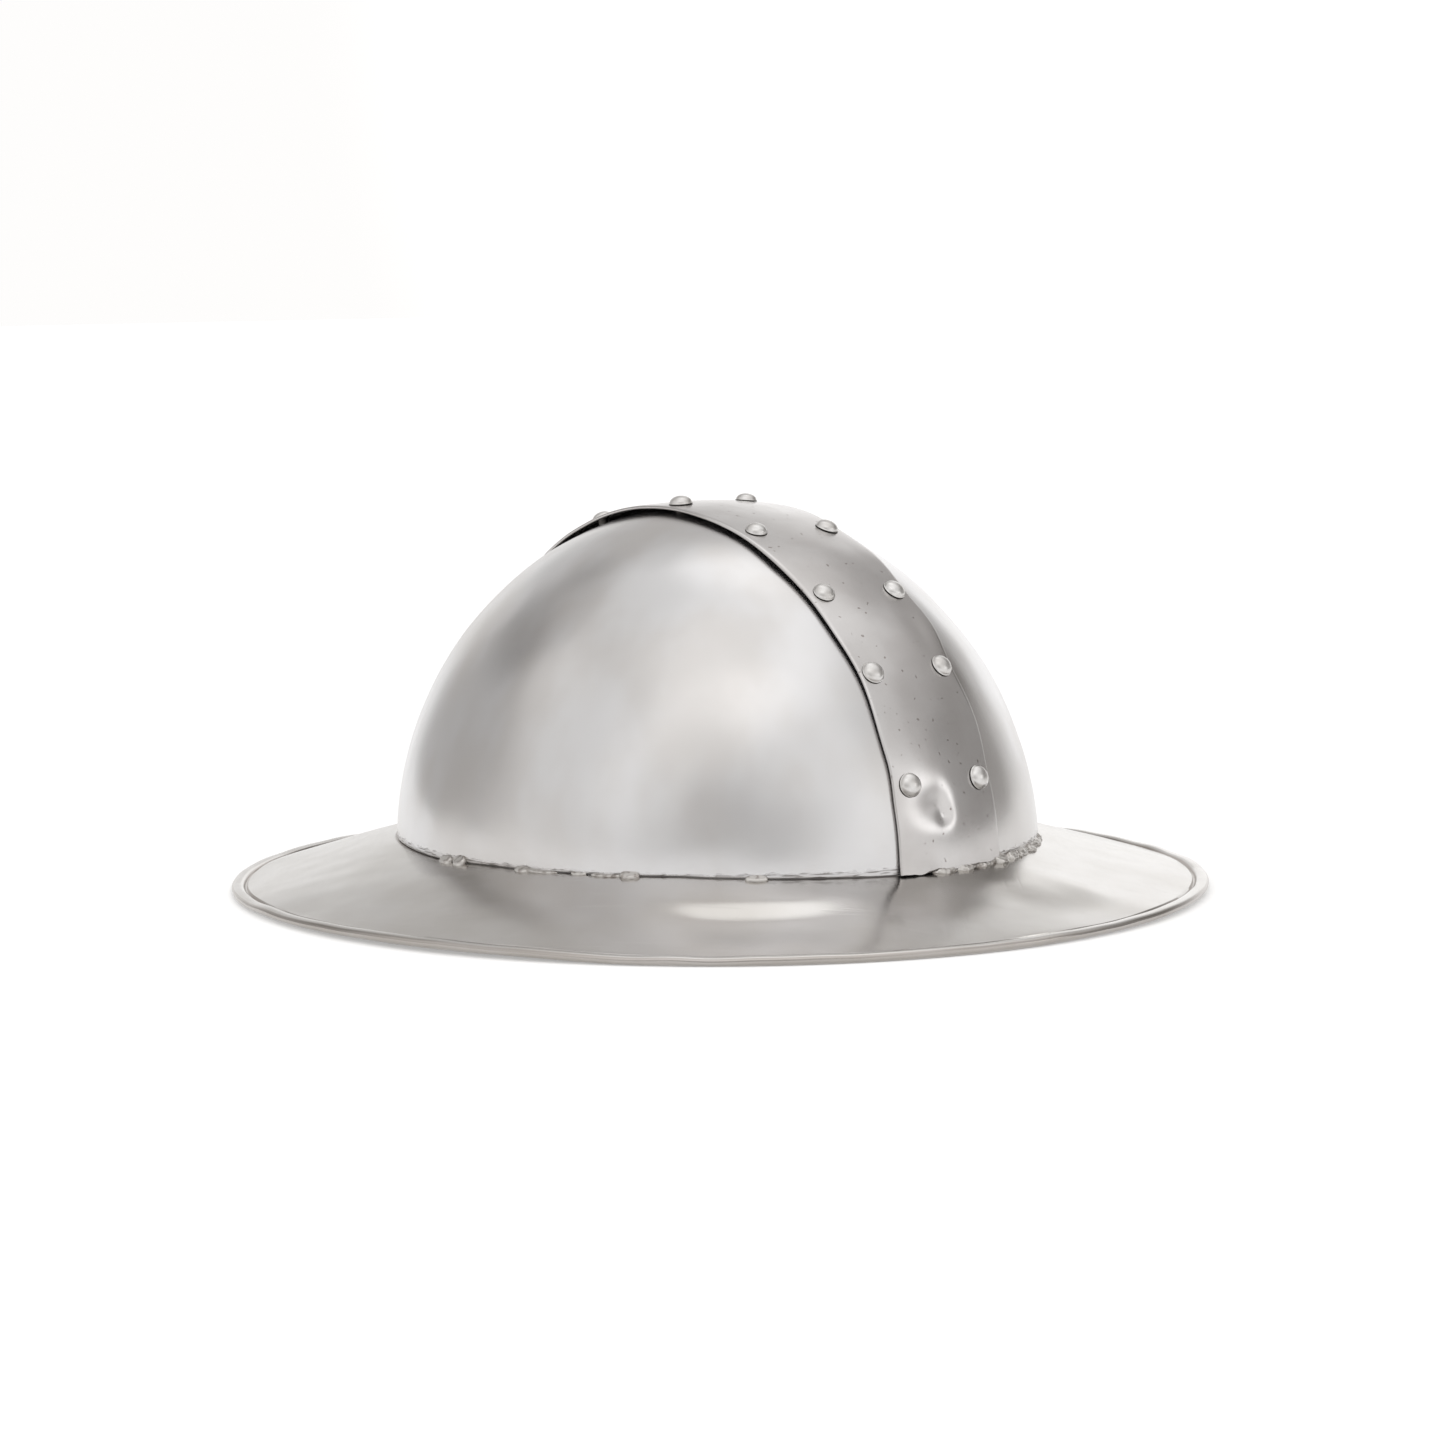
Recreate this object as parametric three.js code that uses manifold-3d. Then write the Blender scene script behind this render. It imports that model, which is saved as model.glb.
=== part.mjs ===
// Kettle hat in riveted sheet steel. Two half bowls meet under a median band that runs from front to back,
// and they stand on a wide sloping brim whose rim is rolled and whose foot is tacked with weld metal.
// Millimetres, +Z up, the front towards -Y and the wearer's left towards +X.
// The origin lies on the floor under the middle of the rim.

import * as THREE from "three";
import { ParametricGeometry } from "three/addons/geometries/ParametricGeometry.js";
import { mergeVertices } from "three/addons/utils/BufferGeometryUtils.js";
import Module from "manifold-3d";

const wasm = await Module();
wasm.setup();

// Crown, measured over the outside of the two half bowls together
const crownLength = 248.2;
const crownWidth = 216.6;
const crownHeight = 117.8;
const crownFullness = 1.86; // power of the rise: 2 is an ellipsoid, less draws the top to a point
const crownWall = 1.2;
const halvesSlit = 0.6; // between the two half bowls, under the band
const seamWave = 1.1; // how far the hand-cut foot of the crown strays from level

// Brim, measured over the rolled rim
const brimLength = 368.8;
const brimWidth = 337;
const brimDrop = 17; // from the foot of the crown to the middle of the roll
const brimWall = 1.2;
const brimDish = 0.2; // how much steeper than its mean the brim leaves the crown
const brimLedge = 2.6; // how far the brim reaches in under the crown's wall
const rollWidth = 5;
const rollHeight = 3.2;
const rimWave = 1.4; // how far the rim lifts between the stretches that it rests on

// Median band
const bandWidth = 44;
const bandWall = 1.2;
const bandShift = 0.9; // the band sits a little to the wearer's left of the joint
const bandFoot = 1.2; // height of the band's ends above the brim
const bandLift = 2.2; // how far its edges stand off the crown, because it is flat across
const scallopLift = 1; // how much more the left edge bulges between two rivets
const rightScallopLift = 0.35;
const scallopStart = 0.65; // the share of half the band's width from which an edge bulges

// Rivets
const headDiameter = 8.2;
const headHeight = 2.8;
const headFlange = 0.5;
const shankDiameter = 4;
const tailDiameter = 6;
const tailHeight = 1.1;
const rowSpread = 31.2; // across the band, from one row to the other
const drillLength = 24; // of the cutter that makes a rivet's hole through the band and the crown

// Weld metal at the foot of the crown
const lumpLength = 8;
const lumpWidth = 4.4;
const lumpHeight = 1.9;
const lumpRoot = 0.5; // how deep a lump is rooted in the brim
const lumpOut = 0.25; // how far outside the crown a lump's middle lies, as a share of its width

// Clearances
const seatGap = 0.3; // between two pieces that lie on each other
const holeClearance = 0.3; // round a rivet's shank

// Facets
const aroundSteps = 64;
const domeSteps = 10;
const bandSteps = 32;
const bandColumns = 6;
const rivetSides = 8;
const headSteps = 2;
const lumpSides = 6;
const lumpSteps = 2;

// Heights of the crown's foot and of the rim round the hat, as shares of seamWave and of rimWave.
// The azimuth is in degrees from the front, towards the wearer's left.
const waves = [
  { azimuth: -180, seam: 0, rim: 0.3 },
  { azimuth: -140, seam: -0.2, rim: 0 },
  { azimuth: -125, seam: -0.4, rim: 0 },
  { azimuth: -100, seam: -0.6, rim: 0.8 },
  { azimuth: -82, seam: 0.2, rim: 1 },
  { azimuth: -66, seam: 0.7, rim: 0.9 },
  { azimuth: -50, seam: 0.9, rim: 0.1 },
  { azimuth: -44, seam: 0.5, rim: 0 },
  { azimuth: -30, seam: 0, rim: 0 },
  { azimuth: -12, seam: -1, rim: 0 },
  { azimuth: 3, seam: -1, rim: 0.3 },
  { azimuth: 20, seam: -0.9, rim: 0.7 },
  { azimuth: 50, seam: -0.5, rim: 0.8 },
  { azimuth: 80, seam: 0, rim: 0.3 },
  { azimuth: 98, seam: 0.2, rim: 0 },
  { azimuth: 128, seam: 0.4, rim: 0 },
  { azimuth: 155, seam: 0.2, rim: 0.4 },
  { azimuth: 180, seam: 0, rim: 0.3 },
];

// The band's outline: where each edge lies, as shares of half its width, and how far it lifts, as shares
// of bandLift. The way along runs from 0 at the front foot over the top to 1 at the back foot.
const bandShape = [
  { along: 0, rightReach: 1.04, leftReach: 1.05, rightLift: 0, leftLift: 0 },
  { along: 0.06, rightReach: 1.03, leftReach: 1.02, rightLift: 0.05, leftLift: 0.1 },
  { along: 0.11, rightReach: 0.98, leftReach: 0.97, rightLift: 0.2, leftLift: 0.25 },
  { along: 0.19, rightReach: 0.94, leftReach: 0.96, rightLift: 0.35, leftLift: 0.4 },
  { along: 0.3, rightReach: 1, leftReach: 1, rightLift: 0.4, leftLift: 0.4 },
  { along: 0.44, rightReach: 1.03, leftReach: 1, rightLift: 0.55, leftLift: 0.5 },
  { along: 0.56, rightReach: 1.02, leftReach: 1, rightLift: 0.8, leftLift: 0.5 },
  { along: 0.68, rightReach: 1, leftReach: 1, rightLift: 0.9, leftLift: 0.5 },
  { along: 0.8, rightReach: 0.98, leftReach: 0.98, rightLift: 0.7, leftLift: 0.5 },
  { along: 0.92, rightReach: 1, leftReach: 1, rightLift: 0.3, leftLift: 0.3 },
  { along: 1, rightReach: 1.03, leftReach: 1.03, rightLift: 0, leftLift: 0 },
];

// Where the rivets of each row sit along the band
const rivetPlaces = [
  { right: 0.083, left: 0.082 },
  { right: 0.191, left: 0.191 },
  { right: 0.282, left: 0.279 },
  { right: 0.385, left: 0.382 },
  { right: 0.492, left: 0.496 },
  { right: 0.608, left: 0.61 },
  { right: 0.712, left: 0.714 },
  { right: 0.815, left: 0.813 },
  { right: 0.917, left: 0.918 },
];

// Weld lumps round the foot: azimuth in degrees, length, width and height as shares of a full lump
const weldLumps = [
  { azimuth: -97, length: 0.9, width: 1, height: 1.1 },
  { azimuth: -93, length: 0.6, width: 0.8, height: 0.8 },
  { azimuth: -78, length: 0.8, width: 0.8, height: 0.6 },
  { azimuth: -67, length: 0.8, width: 0.6, height: 0.5 },
  { azimuth: -58, length: 0.9, width: 0.9, height: 0.7 },
  { azimuth: -37, length: 1, width: 0.9, height: 0.6 },
  { azimuth: -2, length: 1, width: 1, height: 0.9 },
  { azimuth: 3, length: 0.9, width: 1.1, height: 1 },
  { azimuth: 8, length: 0.8, width: 0.9, height: 0.8 },
  { azimuth: 13, length: 0.9, width: 1.4, height: 1.3 },
  { azimuth: 18, length: 0.8, width: 1, height: 1 },
  { azimuth: 23, length: 1, width: 0.8, height: 0.9 },
  { azimuth: 28, length: 0.9, width: 1, height: 1 },
  { azimuth: 34, length: 1, width: 0.8, height: 0.8 },
  { azimuth: 39, length: 0.8, width: 0.7, height: 0.7 },
  { azimuth: 96, length: 0.9, width: 0.9, height: 0.8 },
  { azimuth: 140, length: 1, width: 1, height: 0.9 },
  { azimuth: 176, length: 1, width: 1, height: 0.9 },
];

const seamLevel = rollHeight / 2 + brimDrop;
const footAngle = Math.asin((bandFoot / crownHeight) ** (crownFullness / 2));
const degree = Math.PI / 180;
const domeStep = (90 / domeSteps) * degree;
const facetSag = (crownLength / 2) * (1 - Math.cos(domeStep / 2)); // of the dome's flat facets
const slopeStep = 0.01; // the share of the band over which its slope is taken

// A column of a table at a place between its rows, eased from one row to the next
function column(table, key, place, name) {
  const next = Math.max(1, table.findIndex((row) => row[key] >= place));
  const low = table[next - 1];
  const high = table[next];
  const share = THREE.MathUtils.smoothstep(place, low[key], high[key]);
  return low[name] + (high[name] - low[name]) * share;
}

// The azimuth in degrees of a point of the crown's plan
function azimuthOf(x, y) {
  return Math.atan2(x / crownWidth, -y / crownLength) / degree;
}

// The crown's outside over a point of its plan: the point and the outward normal
function crownSurface(x, y) {
  const acrossShare = x / (crownWidth / 2);
  const alongShare = y / (crownLength / 2);
  const rise = Math.max(0, 1 - acrossShare ** 2 - alongShare ** 2) ** (1 / crownFullness);
  const foot = seamWave * column(waves, "azimuth", azimuthOf(x, y), "seam") * (1 - rise) ** 2;
  const normal = new THREE.Vector3(
    (2 * acrossShare) / (crownWidth / 2),
    (2 * alongShare) / (crownLength / 2),
    (crownFullness * rise ** (crownFullness - 1)) / crownHeight,
  ).normalize();
  return { point: new THREE.Vector3(x, y, seamLevel + crownHeight * rise + foot), normal };
}

// The brim's middle layer at a share of the way from the crown's foot to the roll, moved outwards and up
function brimPoint(azimuth, { share, out, up }) {
  const sine = Math.sin(azimuth);
  const cosine = Math.cos(azimuth);
  const foot = new THREE.Vector2((crownWidth / 2) * sine, (-crownLength / 2) * cosine);
  const rollAcross = (brimWidth - rollWidth) / 2;
  const rollAlong = (brimLength - rollWidth) / 2;
  const rim = new THREE.Vector2(rollAcross * sine, -rollAlong * cosine);
  const outwards = rim.clone().sub(foot).normalize();
  const plan = foot.lerp(rim, share).addScaledVector(outwards, out);
  const turn = azimuth / degree;
  const footLevel = seamLevel + seamWave * column(waves, "azimuth", turn, "seam") - seatGap - brimWall / 2;
  const rimLevel = rollHeight / 2 + rimWave * column(waves, "azimuth", turn, "rim");
  const fall = share * (1 + brimDish - brimDish * share);
  return new THREE.Vector3(plan.x, plan.y, footLevel + (rimLevel - footLevel) * fall + up);
}

// How far the band bulges between two rivets of a row: 0 at each rivet and past the last ones, 1 halfway
function bulge(along, row) {
  const next = rivetPlaces.findIndex((place) => place[row] >= along);
  if (next < 1) {
    return 0;
  }
  const start = rivetPlaces[next - 1][row];
  const end = rivetPlaces[next][row];
  return Math.sin((Math.PI * (along - start)) / (end - start)) ** 2;
}

// Half the band's width on one side of its middle line
function bandReach(along, row) {
  return (bandWidth / 2) * column(bandShape, "along", along, row + "Reach");
}

// The band at a share across it (-1 at the right edge, 1 at the left one), a share of the way along and
// a height in its own thickness. It lies on the crown along its middle and lifts towards its edges.
function bandPoint(across, along, height) {
  const row = across < 0 ? "right" : "left";
  const x = bandShift + across * bandReach(along, row);
  const angle = footAngle + (Math.PI - 2 * footAngle) * along;
  const y = (-crownLength / 2) * Math.sqrt(1 - (x / (crownWidth / 2)) ** 2) * Math.cos(angle);
  const edgeShare = THREE.MathUtils.smoothstep(Math.abs(across), scallopStart, 1);
  const scallop = row === "left" ? scallopLift : rightScallopLift;
  const lift =
    bandLift * column(bandShape, "along", along, row + "Lift") * across ** 2 +
    scallop * bulge(along, row) * edgeShare;
  const { point, normal } = crownSurface(x, y);
  return { point: point.addScaledVector(normal, seatGap + lift + height), standoff: seatGap + lift, normal };
}

// A closed body from a closed geometry: shared corners merged, and faces without area left out
function solid(geometry) {
  const bare = new THREE.BufferGeometry();
  bare.setAttribute("position", geometry.getAttribute("position"));
  bare.setIndex(geometry.index);
  const merged = mergeVertices(bare, 1e-4);
  const corners = [];
  for (let i = 0; i < merged.index.count; i += 3) {
    const face = [0, 1, 2].map((k) => merged.index.getX(i + k));
    if (new Set(face).size === 3) {
      corners.push(...face);
    }
  }
  return new wasm.Manifold(
    new wasm.Mesh({
      numProp: 3,
      vertProperties: merged.getAttribute("position").array,
      triVerts: new Uint32Array(corners),
    }),
  );
}

// The drawn geometry of a body
function geometryOf(body) {
  const mesh = body.getMesh();
  const geometry = new THREE.BufferGeometry();
  geometry.setAttribute("position", new THREE.BufferAttribute(mesh.vertProperties, 3));
  geometry.setIndex(new THREE.BufferAttribute(mesh.triVerts, 1));
  geometry.computeVertexNormals();
  return geometry;
}

// A body swept once round the hat. Its section is a list of rows, and place gives a row's point at an
// azimuth. The section closes on itself, or starts and ends on the hat's axis.
function ring(section, closesOnItself, place) {
  const last = section.length - (closesOnItself ? 0 : 1);
  const surface = (u, v, target) => {
    const azimuth = Math.PI * (1 - (2 * (Math.round(u * aroundSteps) % aroundSteps)) / aroundSteps);
    target.copy(place(azimuth, section[Math.round(v * last) % section.length]));
  };
  return solid(new ParametricGeometry(surface, aroundSteps, last));
}

// A dome that follows the crown, from one depth under its outside to another
function dome(outerDepth, innerDepth) {
  const section = [];
  for (let i = 0; i <= domeSteps; i += 1) {
    const level = i < domeSteps ? Math.cos(i * domeStep) : 0;
    section.unshift({ level, depth: outerDepth });
    section.push({ level, depth: innerDepth });
  }
  return ring(section, false, (azimuth, { level, depth }) => {
    const x = (crownWidth / 2) * level * Math.sin(azimuth);
    const y = (-crownLength / 2) * level * Math.cos(azimuth);
    const { point, normal } = crownSurface(x, y);
    return point.addScaledVector(normal, -depth);
  });
}

// The band as a bent sheet, with a margin all round that is 0 for the band itself
function bandSheet(margin) {
  const sheet = new THREE.BoxGeometry(1, 1, 1, bandColumns, bandSteps, 1);
  const position = sheet.getAttribute("position");
  for (let i = 0; i < position.count; i += 1) {
    const across = 2 * position.getX(i);
    const along = position.getY(i) + 0.5;
    const height = position.getZ(i) < 0 ? -margin : bandWall + margin;
    const place = bandPoint(across, along, height).point;
    if (along === 0 || along === 1) {
      place.z -= margin;
    }
    position.setXYZ(i, place.x, place.y, place.z);
  }
  return solid(sheet);
}

// The rivets' seats: the point on the band's outside, the axis square to the band there, and the grip
// from under the head to over the tail
function rivetSeat(row, along) {
  const side = row === "right" ? -1 : 1;
  const across = (side * rowSpread) / 2 / bandReach(along, row);
  const seat = bandPoint(across, along, bandWall);
  const sideways = bandPoint(across + slopeStep, along, bandWall).point.sub(seat.point);
  const onwards = bandPoint(across, along + slopeStep, bandWall).point.sub(seat.point);
  const axis = sideways.cross(onwards).normalize();
  const lean = axis.angleTo(seat.normal);
  const through = (seat.standoff + bandWall + crownWall) / Math.cos(lean);
  const grip = through + 2 * seatGap + facetSag + (tailDiameter / 2) * Math.tan(lean);
  return { point: seat.point, axis, grip };
}

const rivetSeats = [];
for (const row of ["right", "left"]) {
  rivetPlaces.forEach((place, i) => {
    rivetSeats.push({ name: `rivet_${row}_${i + 1}`, ...rivetSeat(row, place[row]) });
  });
}

const up = new THREE.Vector3(0, 1, 0);

// A hole for each rivet's shank, through the band and the crown
function cutRivetHoles(body) {
  let cut = body;
  for (const { point, axis } of rivetSeats) {
    const radius = shankDiameter / 2 + holeClearance;
    const hole = new THREE.CylinderGeometry(radius, radius, drillLength, rivetSides);
    hole.applyQuaternion(new THREE.Quaternion().setFromUnitVectors(up, axis));
    hole.translate(point.x, point.y, point.z);
    cut = cut.subtract(solid(hole));
  }
  return cut;
}

// One half of the drilled dome, on the side of x that the sign gives
function halfBowl(drilledDome, sign) {
  const half = new THREE.BoxGeometry(crownWidth, 2 * crownLength, 4 * (crownHeight + seamLevel));
  half.translate((sign * (crownWidth + halvesSlit)) / 2, 0, 0);
  return drilledDome.intersect(solid(half));
}

// The brim's section: along the top from the ledge under the crown to the roll, round it, and back
function brimBody() {
  const stations = [0, 0.25, 0.5, 0.75];
  const roll = [
    { outShare: -0.9, upShare: 0.3 },
    { outShare: -0.5, upShare: 0.9 },
    { outShare: 0.1, upShare: 1 },
    { outShare: 0.7, upShare: 0.75 },
    { outShare: 1, upShare: 0 },
    { outShare: 0.75, upShare: -0.75 },
    { outShare: 0.45, upShare: -1 },
    { outShare: -0.45, upShare: -1 },
    { outShare: -0.9, upShare: -0.5 },
  ];
  const half = brimWall / 2;
  const section = [
    { share: 0, out: -brimLedge, up: half },
    ...stations.map((share) => ({ share, out: 0, up: half })),
    ...roll.map(({ outShare, upShare }) => ({
      share: 1,
      out: (outShare * rollWidth) / 2,
      up: (upShare * rollHeight) / 2,
    })),
    ...stations.toReversed().map((share) => ({ share, out: 0, up: -half })),
    { share: 0, out: -brimLedge, up: -half },
  ];
  return ring(section, true, brimPoint);
}

// A lump of weld metal at the crown's foot: a low dome with its root sunk in the brim
function weldLump({ azimuth, length, width, height }) {
  const profile = [new THREE.Vector2(0, -lumpRoot)];
  for (let i = 0; i <= lumpSteps; i += 1) {
    const turn = (i / lumpSteps) * 90 * degree;
    profile.push(new THREE.Vector2(Math.cos(turn) / 2, height * lumpHeight * Math.sin(turn)));
  }
  profile[1].y = -lumpRoot;
  profile.at(-1).x = 0;
  const lump = new THREE.LatheGeometry(profile, lumpSides);
  lump.scale(length * lumpLength, 1, width * lumpWidth);
  lump.rotateX(90 * degree);
  lump.rotateZ(azimuth * degree);
  const foot = brimPoint(azimuth * degree, { share: 0, out: lumpOut * width * lumpWidth, up: brimWall / 2 });
  lump.translate(foot.x, foot.y, foot.z);
  return solid(lump);
}

// A rivet: low domed head with a thin flange, shank, and the tail peened over inside the crown
function rivetGeometry(grip) {
  const profile = [
    new THREE.Vector2(0, -grip - tailHeight),
    new THREE.Vector2(shankDiameter / 2, -grip - tailHeight),
    new THREE.Vector2(tailDiameter / 2, -grip),
    new THREE.Vector2(shankDiameter / 2, -grip),
    new THREE.Vector2(shankDiameter / 2, 0),
    new THREE.Vector2(headDiameter / 2, 0),
  ];
  for (let i = 0; i < headSteps; i += 1) {
    const turn = (i / headSteps) * 90 * degree;
    const rise = headFlange + (headHeight - headFlange) * Math.sin(turn);
    profile.push(new THREE.Vector2((headDiameter / 2) * Math.cos(turn), rise));
  }
  profile.push(new THREE.Vector2(0, headHeight));
  return new THREE.LatheGeometry(profile, rivetSides);
}

const plateSteel = new THREE.MeshStandardMaterial({ color: 0xc4c3c4, roughness: 0.38, metalness: 1 });
const bandSteel = new THREE.MeshStandardMaterial({ color: 0xafaaaa, roughness: 0.33, metalness: 1 });
const brimSteel = new THREE.MeshStandardMaterial({ color: 0xb2b0aa, roughness: 0.4, metalness: 1 });
const rivetSteel = new THREE.MeshStandardMaterial({ color: 0xb8b6b4, roughness: 0.28, metalness: 1 });

const hat = new THREE.Group();

function addPiece(name, geometry, material) {
  const mesh = new THREE.Mesh(geometry, material);
  mesh.name = name;
  hat.add(mesh);
  return mesh;
}

// The half bowls
const drilledDome = cutRivetHoles(dome(0, crownWall));
addPiece("crown_half_right", geometryOf(halfBowl(drilledDome, -1)), plateSteel.clone());
addPiece("crown_half_left", geometryOf(halfBowl(drilledDome, 1)), plateSteel.clone());

// The band
addPiece("band", geometryOf(cutRivetHoles(bandSheet(0))), bandSteel);

// The brim with the weld metal fused to it, kept clear of the crown and of the band
let weld = weldLump(weldLumps[0]);
for (const lump of weldLumps.slice(1)) {
  weld = weld.add(weldLump(lump));
}
const clearWeld = weld.subtract(dome(-seatGap, 2 * lumpWidth)).subtract(bandSheet(seatGap));
addPiece("brim", geometryOf(brimBody().add(clearWeld)), brimSteel);

// The rivets, head outwards on the band
for (const { name, point, axis, grip } of rivetSeats) {
  const rivet = addPiece(name, rivetGeometry(grip), rivetSteel.clone());
  rivet.quaternion.setFromUnitVectors(up, axis);
  rivet.position.copy(point).addScaledVector(axis, seatGap);
}

export default hat;
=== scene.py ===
import math

import bmesh
import bpy
import numpy as np
from mathutils import Matrix, Vector, noise


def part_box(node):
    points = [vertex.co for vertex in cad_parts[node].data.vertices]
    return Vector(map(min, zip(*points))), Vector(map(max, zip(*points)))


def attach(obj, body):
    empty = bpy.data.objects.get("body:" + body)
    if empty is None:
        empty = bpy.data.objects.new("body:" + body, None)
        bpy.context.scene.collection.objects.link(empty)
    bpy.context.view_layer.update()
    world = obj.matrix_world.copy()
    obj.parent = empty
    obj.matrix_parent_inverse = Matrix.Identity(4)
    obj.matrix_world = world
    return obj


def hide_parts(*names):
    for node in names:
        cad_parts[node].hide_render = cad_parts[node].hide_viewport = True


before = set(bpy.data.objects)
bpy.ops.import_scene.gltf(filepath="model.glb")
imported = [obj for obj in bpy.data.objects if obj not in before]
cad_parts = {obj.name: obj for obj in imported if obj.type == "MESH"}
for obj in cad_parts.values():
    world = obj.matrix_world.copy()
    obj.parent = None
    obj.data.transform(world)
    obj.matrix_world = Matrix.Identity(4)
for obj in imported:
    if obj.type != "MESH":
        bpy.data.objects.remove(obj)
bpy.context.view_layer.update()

# The crown's two half bowls, raised from sheet steel, planished by hand and polished to a soft satin.
# They meet edge to edge under the median band, stand on the brim's inner edge and are welded to it. Their
# sizes come from the frame, in millimetres, and the unevenness that the hammer left is in the mesh.
MM = 0.001
crown_low, crown_high = (np.array(corner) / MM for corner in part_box("crown_half_right"))
half_length = crown_high[1]
half_width = -crown_low[0]
roll_height = 3.2
brim_drop = 17
seam_level = roll_height / 2 + brim_drop
crown_height = crown_high[2] - seam_level
crown_fullness = 1.86
crown_wall = 1.2
halves_slit = 0.6
band_shift = 0.9
crown_sections = 230
outside_steps = 110
inside_steps = 60
crown_hammering = {"wavelength": [36, 14], "height": [0.4, 0.08], "seed": [1, 2]}
flute_width = 19
flute_height = 0.35
flute_stretch = 0.3
ground_strip = 3
band_shadow = 22
crown_roughness = 0.13
crown_grain_depth = 0.0025
crown_pale = (0.655, 0.65, 0.655)
crown_warm = (0.6, 0.582, 0.57)
# A dark tone for weld smoke in the ground strip, also used as painted shade under the band's ends.
smoke_and_shade_tone = (0.2, 0.18, 0.16)
clean = (1, 1, 1)

# How the joint line and the rim rise and fall round the hat, as shares of seam_wave and rim_wave. The
# front is at 0 degrees and the wearer's left at 90.
seam_wave = 1.1
hat_waves = {
    "azimuth": [-180, -140, -125, -100, -82, -66, -50, -44, -30, -12, 3, 20, 50, 80, 98, 128, 155, 180],
    "seam": [0, -0.2, -0.4, -0.6, 0.2, 0.7, 0.9, 0.5, 0, -1, -1, -0.9, -0.5, 0, 0.2, 0.4, 0.2, 0],
    "rim": [0.3, 0, 0, 0.8, 1, 0.9, 0.1, 0, 0, 0, 0.3, 0.7, 0.8, 0.3, 0, 0, 0.4, 0.3],
}


def eased(place, places, values):
    """A table's column at any place, eased from one row to the next."""
    places = np.array(places, float)
    values = np.array(values, float)
    row = np.clip(np.searchsorted(places, place) - 1, 0, len(places) - 2)
    share = np.clip((place - places[row]) / (places[row + 1] - places[row]), 0, 1)
    return values[row] + (values[row + 1] - values[row]) * share**2 * (3 - 2 * share)


def on_crown(x, y, rise=None):
    """The crown's smooth outside over points of its plan: points and outward normals."""
    across = x / half_width
    along = y / half_length
    if rise is None:
        rise = np.clip(1 - across**2 - along**2, 0, None) ** (1 / crown_fullness)
    azimuth = np.degrees(np.arctan2(across, -along))
    foot = seam_wave * eased(azimuth, hat_waves["azimuth"], hat_waves["seam"]) * (1 - rise) ** 2
    upwards = crown_fullness * rise ** (crown_fullness - 1) / crown_height
    normal = np.stack([2 * across / half_width, 2 * along / half_length, upwards], -1)
    normal /= np.linalg.norm(normal, axis=-1, keepdims=True)
    return np.stack([x, y, seam_level + crown_height * rise + foot], -1), normal


def undulation(points, wavelength, height, seed):
    """Smooth unevenness in millimetres, of that wavelength and height."""
    shift = Vector((17.3, 5.1, 9.7)) * seed
    values = [noise.noise(Vector(point) + shift) for point in points.reshape(-1, 3) / wavelength]
    return height * np.array(values).reshape(points.shape[:-1])


def hammered(points, marks):
    """The unevenness of a whole table of hammer marks, from the widest to the finest."""
    return sum(undulation(points, *mark) for mark in zip(*marks.values()))


def loft(name, rings, closed):
    """An object whose mesh runs through rings of points in millimetres. The rings close into a loop,
    or the first and the last are capped."""
    count, size = rings.shape[:2]
    grid = np.arange(count * size).reshape(count, size)
    near = grid if closed else grid[:-1]
    far = np.roll(grid, -1, axis=0) if closed else grid[1:]
    corners = [near, np.roll(near, -1, axis=1), np.roll(far, -1, axis=1), far]
    faces = np.stack(corners, -1).reshape(-1, 4).tolist()
    if not closed:
        faces += [grid[0][::-1].tolist(), grid[-1].tolist()]
    mesh = bpy.data.meshes.new(name)
    mesh.from_pydata((rings.reshape(-1, 3) * MM).tolist(), [], faces)
    work = bmesh.new()
    work.from_mesh(mesh)
    bmesh.ops.remove_doubles(work, verts=work.verts, dist=0.004 * MM)
    bmesh.ops.recalc_face_normals(work, faces=work.faces)
    work.to_mesh(mesh)
    work.free()
    mesh.shade_smooth()
    mesh.set_sharp_from_angle(angle=math.radians(50))
    piece = bpy.data.objects.new(name, mesh)
    bpy.context.scene.collection.objects.link(piece)
    return piece


class Value:
    """A socket that Python's operators work on: an expression adds its Math nodes to the tree."""

    def __init__(self, tree, socket):
        self.tree = tree
        self.socket = socket

    def math(self, operation, *values):
        return node(self.tree, "ShaderNodeMath", {"operation": operation}, dict(enumerate(values)))

    def __add__(self, other):
        return self.math("ADD", self, other)

    def __radd__(self, other):
        return self.math("ADD", other, self)

    def __sub__(self, other):
        return self.math("SUBTRACT", self, other)

    def __rsub__(self, other):
        return self.math("SUBTRACT", other, self)

    def __mul__(self, other):
        return self.math("MULTIPLY", self, other)

    def __rmul__(self, other):
        return self.math("MULTIPLY", other, self)

    def __truediv__(self, other):
        return self.math("DIVIDE", self, other)

    def __pow__(self, other):
        return self.math("POWER", self, other)

    def over(self, low, high):
        """0 below low, 1 above high, and smooth between them."""
        settings = {"interpolation_type": "SMOOTHSTEP"}
        sockets = {"Value": self, "From Min": low, "From Max": high}
        return node(self.tree, "ShaderNodeMapRange", settings, sockets)


def node(tree, kind, settings, sockets, output=0):
    """A node of a type: its settings first, then the values or links of its sockets."""
    made = tree.nodes.new(kind)
    for setting, value in settings.items():
        setattr(made, setting, value)
    for socket, value in sockets.items():
        if isinstance(value, Value):
            tree.links.new(value.socket, made.inputs[socket])
        else:
            made.inputs[socket].default_value = value
    return Value(tree, made.outputs[output])


def grain(tree, place, wavelength, stretch=(1, 1, 1), detail=2.0, turn=(0, 0, 0)):
    """Noise of a wavelength in millimetres, longer by its stretch along each of its turned axes."""
    size = [wavelength * MM * share for share in stretch]
    sockets = {"Vector": place, "Rotation": turn, "Scale": size}
    spot = node(tree, "ShaderNodeMapping", {"vector_type": "TEXTURE"}, sockets)
    return node(tree, "ShaderNodeTexNoise", {}, {"Vector": spot, "Scale": 1.0, "Detail": detail})


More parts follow.
